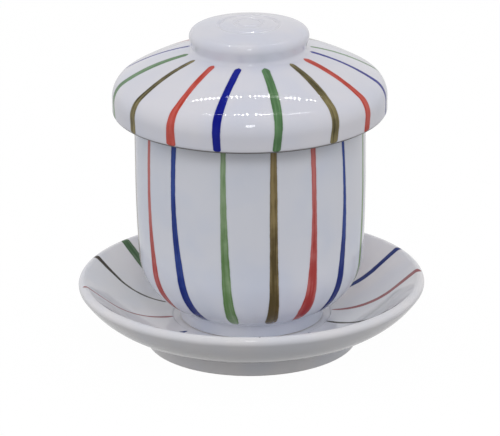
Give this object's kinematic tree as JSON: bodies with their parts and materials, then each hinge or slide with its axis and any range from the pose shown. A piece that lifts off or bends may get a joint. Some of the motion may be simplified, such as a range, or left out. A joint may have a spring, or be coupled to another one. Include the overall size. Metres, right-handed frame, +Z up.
{
  "type": "lidded custard cup with saucer",
  "caption": "Near-straight porcelain cup for steamed custard with an overhanging domed lid and flat knob, standing in a matching saucer, all painted with upright coloured stripes",
  "frame": {"origin": "centre of the saucer's foot ring, on the surface that the saucer stands on; the axis of all three pieces runs through it", "axes": "+Z up along the shared axis of saucer, cup and lid; -Y towards the viewer of the picture, +X to the viewer's right"},
  "size_m": [0.121, 0.121, 0.1159],
  "materials": {
    "saucer_glaze": "white porcelain under a clear gloss glaze, thin hand-painted stripes in red, blue, green and olive brown running in from the lip, foot ring bare",
    "cup_glaze": "white porcelain under a clear gloss glaze, upright hand-painted stripes in red, blue, green and olive brown, foot ring and rim bare of paint",
    "lid_glaze": "white porcelain under a clear gloss glaze, hand-painted stripes in red, blue, green and olive brown from the knob down to the edge"
  },
  "bodies": {
    "root": {"saucer": "saucer_glaze", "cup": "cup_glaze", "lid": "lid_glaze"}
  },
  "joints": []
}
